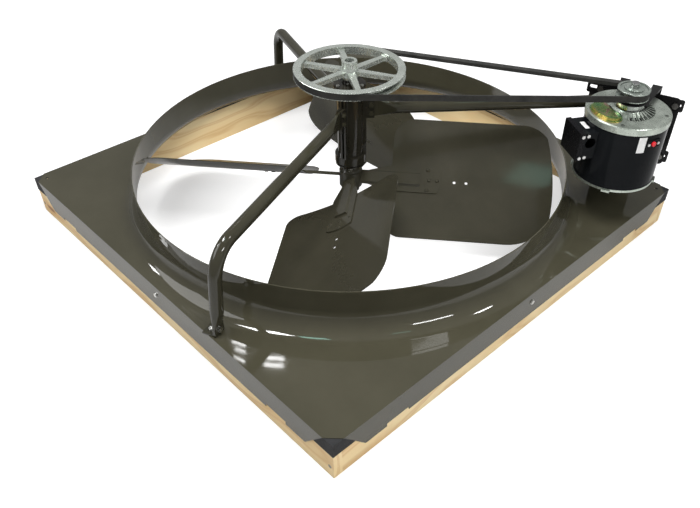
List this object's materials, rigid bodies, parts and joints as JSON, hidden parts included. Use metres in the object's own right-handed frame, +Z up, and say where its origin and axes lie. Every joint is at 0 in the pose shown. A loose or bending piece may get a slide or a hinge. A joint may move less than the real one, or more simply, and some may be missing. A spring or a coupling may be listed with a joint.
{
  "type": "whole house fan",
  "caption": "Belt-driven whole house fan: sheet-steel venturi panel on a pine frame, paddle-blade fan on a strut-carried shaft, side-mounted vertical motor.",
  "frame": {"origin": "middle of the pine frame's underside, on the fan shaft's axis", "axes": "+Z up along the fan shaft, +X and +Y along the frame's sides, with the motor at the +X +Y corner"},
  "size_m": [1.0622, 1.0473, 0.387],
  "materials": {
    "pine": "planed, unfinished",
    "wood_screw": "dull",
    "foam": "matte foam",
    "panel_paint": "gloss",
    "strut_paint": "gloss",
    "housing_paint": "gloss",
    "blade_paint": "gloss",
    "zinc_screw": "zinc plated",
    "dull_bolt": "dull zinc",
    "bearing_steel": "ground",
    "zinc_casting": "as cast",
    "belt_rubber": "matte",
    "bracket_paint": "gloss black",
    "isolator_rubber": "matte",
    "bright_steel": "bright",
    "motor_paint": "gloss black",
    "bell_aluminium": "as cast",
    "core_steel": "laminated",
    "copper": "enamelled copper wire",
    "bronze": "sintered",
    "dark_screw": "black oxide",
    "yellow_plating": "yellow chromate",
    "red_button": "gloss",
    "phenolic": "moulded",
    "label_white": "blank paper"
  },
  "bodies": {
    "frame": {"frame_board_front": "pine", "frame_board_back": "pine", "frame_board_left": "pine", "frame_board_right": "pine", "frame_screws": "wood_screw", "foam_gasket": "foam", "venturi_panel": "panel_paint", "panel_screws": "zinc_screw", "strut_near": "strut_paint", "strut_far": "strut_paint", "motor_arm": "strut_paint", "strut_foot_clips": "strut_paint", "foot_bolts": "zinc_screw", "foot_lag_screws": "zinc_screw", "hub_bolts": "strut_paint", "bearing_housing": "housing_paint", "bearing_caps": "housing_paint", "cap_screws": "zinc_screw", "upper_bearing": "bearing_steel", "lower_bearing": "bearing_steel", "drive_belt": "belt_rubber", "motor_bracket": "bracket_paint", "bracket_bolts": "zinc_screw"},
    "fan_rotor": {"bearing_inner_rings": "bearing_steel", "fan_shaft": "bearing_steel", "shaft_collar": "housing_paint", "fan_hub": "blade_paint", "spider": "blade_paint", "blade_1": "blade_paint", "blade_2": "blade_paint", "blade_3": "blade_paint", "blade_4": "blade_paint", "blade_rivets": "blade_paint", "fan_set_screws": "zinc_screw", "fan_pulley": "zinc_casting", "pulley_key": "bearing_steel"},
    "motor": {"motor_cradle": "bracket_paint", "tension_bolts": "dull_bolt", "motor_isolators": "isolator_rubber", "cradle_clamps": "bright_steel", "motor_shell": "motor_paint", "upper_end_bell": "bell_aluminium", "lower_end_bell": "bell_aluminium", "through_bolts": "zinc_screw", "stator_core": "core_steel", "stator_windings": "copper", "motor_bearings": "bronze", "terminal_cover": "yellow_plating", "junction_box": "motor_paint", "junction_cover": "motor_paint", "junction_screws": "zinc_screw", "reset_bezel": "motor_paint", "overload_switch": "phenolic", "bezel_screws": "zinc_screw", "blank_label": "label_white"},
    "motor_rotor": {"rotor_core": "core_steel", "motor_shaft": "bearing_steel", "motor_pulley": "zinc_casting", "motor_pulley_screw": "dark_screw"},
    "reset_button": {"reset_button": "red_button"}
  },
  "joints": [
    {"name": "fan_spin", "type": "hinge", "parent": "frame", "child": "fan_rotor", "pos_m": [0, 0, 0.2], "axis": [0, 0, 1], "continuous": true},
    {"name": "motor_tension", "type": "slide", "parent": "frame", "child": "motor", "axis": [0.9511, 0.309, 0], "range_m": [-0.018, 0.005], "deforming": ["drive_belt"]},
    {"name": "motor_spin", "type": "hinge", "parent": "motor", "child": "motor_rotor", "pos_m": [0.45021, 0.34796, 0.2], "axis": [0, 0, 1], "continuous": true},
    {"name": "reset_press", "type": "slide", "parent": "motor", "child": "reset_button", "axis": [-0.9455, 0.3256, 0], "range_m": [0, 0.0025], "stiffness_N_per_m": 600}
  ],
  "couplings": [
    {"joint": "motor_spin", "follows": "fan_spin", "ratio": 3.8632}
  ]
}
